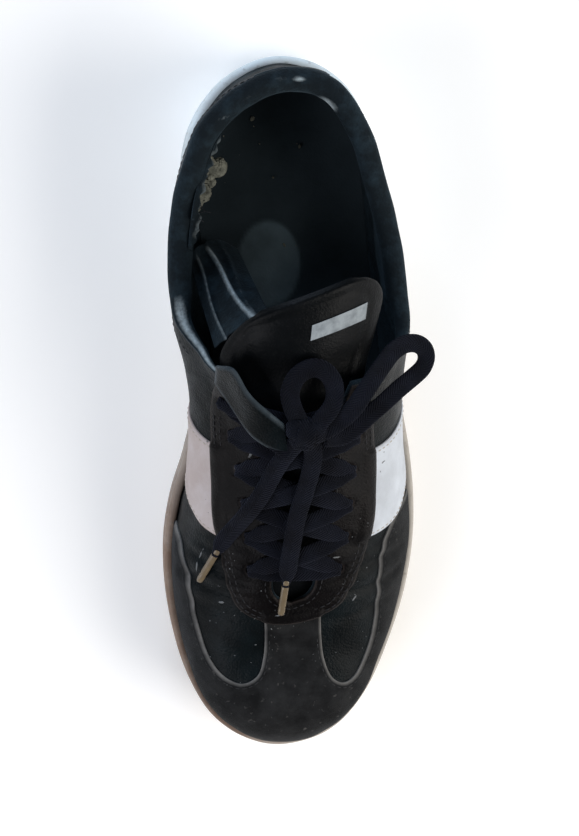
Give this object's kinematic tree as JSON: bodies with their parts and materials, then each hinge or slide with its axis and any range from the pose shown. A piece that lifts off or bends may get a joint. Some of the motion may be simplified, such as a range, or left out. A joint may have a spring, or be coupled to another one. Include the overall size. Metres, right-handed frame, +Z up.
{
  "type": "worn out sneaker",
  "caption": "Worn out left low sneaker with a near-black leather and suede upper, a T-shaped toe overlay, a torn padded collar, flat black laces in a bow and a dirty pale rubber cup sole.",
  "frame": {"origin": "middle of the footprint on the ground, which is the middle of the bounding box's bottom", "axes": "+Z up, -Y towards the toe, +X towards the outer (lateral) side of this left shoe"},
  "size_m": [0.11, 0.296, 0.108],
  "materials": {
    "sole_rubber": "matte",
    "upper_leather": "satin",
    "upper_suede": "matte",
    "side_panel_leather": "satin",
    "lining_fabric": "matte",
    "foam_fabric": "matte",
    "lace_fabric": "matte",
    "thread_fabric": "matte",
    "aglet_plastic": "satin"
  },
  "bodies": {
    "root": {"cup_sole": "sole_rubber", "upper": "upper_leather", "insole": "lining_fabric", "tongue": "upper_leather", "lace_bars": "lace_fabric", "lace_knot": "lace_fabric", "lace_loop_outer": "lace_fabric", "lace_loop_upright": "lace_fabric", "lace_end_middle": "lace_fabric", "lace_end_inner": "lace_fabric", "aglet_middle": "aglet_plastic", "aglet_inner": "aglet_plastic"}
  },
  "joints": []
}
